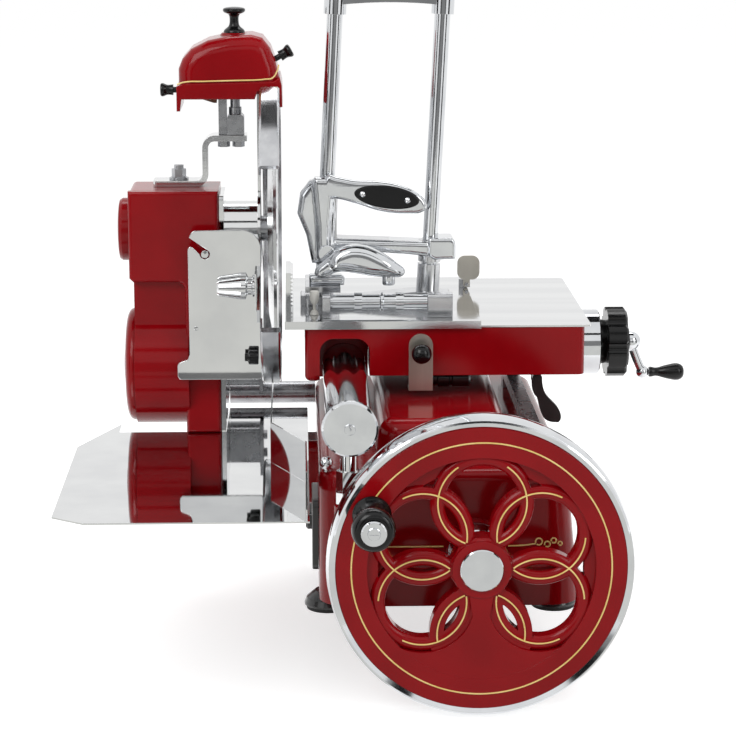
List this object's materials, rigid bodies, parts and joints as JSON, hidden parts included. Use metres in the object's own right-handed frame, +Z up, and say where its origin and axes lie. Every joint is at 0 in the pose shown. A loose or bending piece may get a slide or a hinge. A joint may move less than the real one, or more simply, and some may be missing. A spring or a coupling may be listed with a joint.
{
  "type": "hand crank meat slicer",
  "caption": "Flywheel-driven meat slicer: red cast base and blade case, round blade with ring guard, sliding carriage with screw-fed meat table and press, sharpener head and receiving tray.",
  "frame": {"origin": "centre of the four foot pads, in the plane that they stand on", "axes": "+X from the blade towards the feed crank, +Y away from the operator and the flywheel, +Z up"},
  "size_m": [0.6311, 0.5935, 0.6405],
  "materials": {
    "red_enamel": "deep red stove enamel, high gloss",
    "chrome_plate": "polished chrome plate",
    "polished_aluminium": "polished cast aluminium",
    "polished_steel": "polished stainless steel",
    "ground_steel": "ground and oiled steel",
    "black_bakelite": "black moulded bakelite, gloss",
    "black_enamel": "black enamel, satin",
    "bronze": "plain bearing bronze",
    "foot_rubber": "moulded rubber",
    "grinding_grit": "brown bonded grit",
    "honing_grit": "grey bonded grit"
  },
  "bodies": {
    "frame": {"base_casting": "red_enamel", "base_fittings": "chrome_plate", "foot_bells": "black_enamel", "foot_pads": "foot_rubber", "side_cover": "black_enamel", "case_body": "red_enamel", "case_covers": "red_enamel", "case_plate": "polished_steel", "blade_shaft_tube": "polished_steel", "shaft_bushes": "bronze", "drive_chains": "ground_steel", "guard_ring": "polished_aluminium", "guard_supports": "ground_steel", "deflector_plate": "polished_steel", "receiving_tray": "polished_steel", "guide_rod": "chrome_plate", "rod_posts": "polished_steel", "right_rail": "ground_steel", "sharpener_strap": "polished_steel", "sharpener_block": "ground_steel"},
    "wheel": {"flywheel": "red_enamel", "flywheel_rim": "chrome_plate", "wheel_fittings": "chrome_plate", "flywheel_shaft": "ground_steel"},
    "wheel_handle": {"handle_grip": "black_bakelite"},
    "cross_drive": {"cross_shaft": "ground_steel"},
    "lay_drive": {"lay_shaft": "ground_steel"},
    "blade_group": {"blade": "polished_steel", "blade_shaft": "ground_steel"},
    "deflector_clamp": {"deflector_knob": "polished_steel"},
    "carriage": {"carriage_body": "red_enamel", "rod_bushes": "red_enamel", "cover_plate": "polished_steel", "carriage_brackets": "black_enamel", "feed_collar": "chrome_plate"},
    "roller": {"rail_roller": "ground_steel"},
    "catch": {"catch_plate": "polished_steel", "catch_ball": "black_bakelite"},
    "slice_knob": {"thickness_knob": "black_bakelite"},
    "feed": {"feed_screw": "chrome_plate"},
    "crank_handle": {"crank_grip": "black_bakelite"},
    "trip": {"feed_lever": "black_enamel"},
    "table": {"meat_table": "polished_steel", "tooth_plate": "polished_steel", "press_base": "polished_aluminium", "press_frame": "chrome_plate", "table_fittings": "polished_aluminium"},
    "vice": {"vice_spindle": "chrome_plate"},
    "release": {"release_lever": "chrome_plate"},
    "press": {"press_slider": "polished_aluminium"},
    "lift_handle": {"press_handle": "chrome_plate", "grip_scales": "black_bakelite"},
    "lever": {"clamp_lever": "polished_aluminium"},
    "head": {"sharpener_hood": "red_enamel", "hood_knob": "black_bakelite"},
    "grinder": {"grinding_stone": "grinding_grit", "grinding_button": "black_bakelite"},
    "honer": {"honing_stone": "honing_grit", "honing_button": "black_bakelite"}
  },
  "joints": [
    {"name": "wheel_turn", "type": "hinge", "parent": "frame", "child": "wheel", "pos_m": [0.03, -0.273, 0.073], "axis": [0, 1, 0], "continuous": true},
    {"name": "handle_spin", "type": "hinge", "parent": "wheel", "child": "wheel_handle", "pos_m": [-0.07066, -0.322, 0.12652], "axis": [0, 1, 0], "continuous": true},
    {"name": "cross_turn", "type": "hinge", "parent": "frame", "child": "cross_drive", "pos_m": [-0.06, 0.076, 0.073], "axis": [1, 0, 0], "continuous": true},
    {"name": "lay_turn", "type": "hinge", "parent": "frame", "child": "lay_drive", "pos_m": [-0.25, 0.076, 0.189], "axis": [1, 0, 0], "continuous": true},
    {"name": "blade_spin", "type": "hinge", "parent": "frame", "child": "blade_group", "pos_m": [-0.16, 0.076, 0.332], "axis": [1, 0, 0], "continuous": true},
    {"name": "deflector_turn", "type": "hinge", "parent": "frame", "child": "deflector_clamp", "pos_m": [-0.2, -0.006, 0.284], "axis": [1, 0, 0], "range_deg": [-180, 180]},
    {"name": "carriage_slide", "type": "slide", "parent": "frame", "child": "carriage", "axis": [0, -1, 0], "range_m": [0, 0.2]},
    {"name": "roller_turn", "type": "hinge", "parent": "carriage", "child": "roller", "pos_m": [0.091, 0.1225, 0.1918], "axis": [1, 0, 0], "range_deg": [-20, 580]},
    {"name": "catch_lift", "type": "slide", "parent": "carriage", "child": "catch", "axis": [0, 0, 1], "range_m": [0, 0.0035]},
    {"name": "thickness_turn", "type": "hinge", "parent": "carriage", "child": "slice_knob", "pos_m": [0.19, 0.07, 0.211], "axis": [1, 0, 0], "range_deg": [0, 300]},
    {"name": "screw_turn", "type": "hinge", "parent": "carriage", "child": "feed", "pos_m": [0, 0.07, 0.211], "axis": [-1, 0, 0], "range_deg": [0, 3136]},
    {"name": "crank_spin", "type": "hinge", "parent": "feed", "child": "crank_handle", "pos_m": [0.245, 0.07, 0.178], "axis": [1, 0, 0], "continuous": true},
    {"name": "trip_swing", "type": "hinge", "parent": "carriage", "child": "trip", "pos_m": [0.105, -0.025, 0.194], "axis": [0, 1, 0], "range_deg": [-12, 0]},
    {"name": "feed_slide", "type": "slide", "parent": "carriage", "child": "table", "axis": [1, 0, 0], "range_m": [0, 0.087]},
    {"name": "vice_turn", "type": "hinge", "parent": "table", "child": "vice", "pos_m": [-0.055, -0.012, 0.2703], "axis": [1, 0, 0], "range_deg": [0, 180]},
    {"name": "release_tilt", "type": "hinge", "parent": "table", "child": "release", "pos_m": [0.045, 0.147, 0.2593], "axis": [0, 1, 0], "range_deg": [-30, 0]},
    {"name": "press_slide", "type": "slide", "parent": "table", "child": "press", "axis": [0.0489, 0, 0.9988], "range_m": [0, 0.15]},
    {"name": "lift_handle_swing", "type": "hinge", "parent": "press", "child": "lift_handle", "pos_m": [-0.10629, 0.038, 0.372], "axis": [0, 1, 0], "range_deg": [-20, 0]},
    {"name": "clamp_lever_swing", "type": "hinge", "parent": "press", "child": "lever", "pos_m": [-0.10796, 0.02, 0.297], "axis": [0, 1, 0], "range_deg": [-60, 0]},
    {"name": "head_lift", "type": "slide", "parent": "frame", "child": "head", "axis": [0, 0, 1], "range_m": [0, 0.034]},
    {"name": "grinding_push", "type": "slide", "parent": "head", "child": "grinder", "axis": [1, 0, 0], "range_m": [0, 0.003], "stiffness_N_per_m": 900, "springref_m": -0.002},
    {"name": "honing_push", "type": "slide", "parent": "head", "child": "honer", "axis": [-0.867, 0, -0.4983], "range_m": [0, 0.003], "stiffness_N_per_m": 900, "springref_m": -0.002}
  ],
  "couplings": [
    {"joint": "cross_turn", "follows": "wheel_turn", "ratio": -2},
    {"joint": "lay_turn", "follows": "wheel_turn", "ratio": -2.2222},
    {"joint": "blade_spin", "follows": "wheel_turn", "ratio": -4.4444},
    {"joint": "roller_turn", "follows": "carriage_slide", "rad_per_m": 46.512},
    {"joint": "screw_turn", "follows": "feed_slide", "rad_per_m": 628.32}
  ]
}
